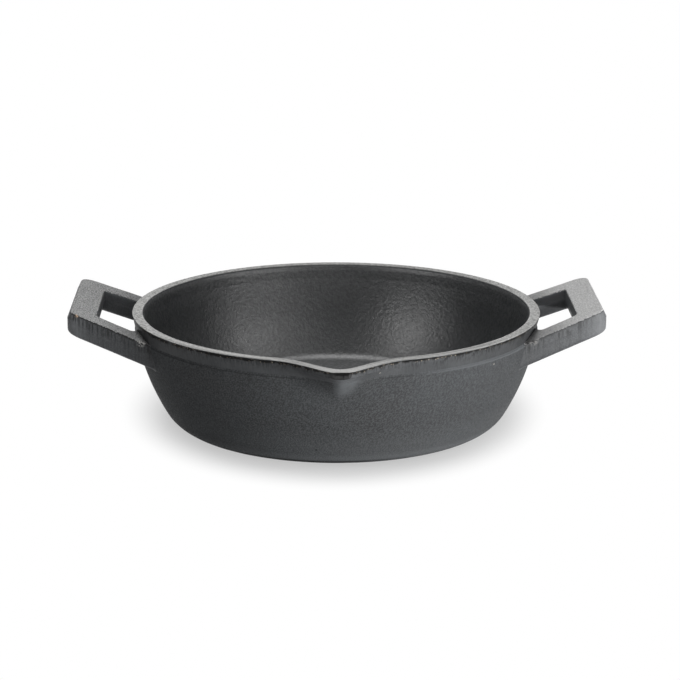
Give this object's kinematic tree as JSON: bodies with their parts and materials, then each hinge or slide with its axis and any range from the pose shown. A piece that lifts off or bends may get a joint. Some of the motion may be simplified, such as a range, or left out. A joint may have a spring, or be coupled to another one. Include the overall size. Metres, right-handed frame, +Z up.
{
  "type": "cast iron pan",
  "caption": "Round cast iron pan with flared sides, a thick flat floor, a dressed flat rim, a V-shaped pouring spout at the front and loop handles that climb outwards.",
  "frame": {"origin": "centre of the flat foot, on the pan's axis and on the surface that it stands on", "axes": "+Z up along the pan's axis, -Y towards the pouring spout, +X towards the right handle"},
  "size_m": [0.258, 0.216, 0.0639],
  "materials": {
    "sand_cast_iron": "seasoned sand casting, fine even grain, satin black",
    "dressed_iron": "ground flat on top and seasoned, fine grinding streaks, satin grey"
  },
  "bodies": {
    "root": {"pan_base": "sand_cast_iron", "side_wall": "sand_cast_iron", "rim_band": "dressed_iron", "pouring_spout": "dressed_iron", "left_handle": "sand_cast_iron", "right_handle": "sand_cast_iron"}
  },
  "joints": []
}
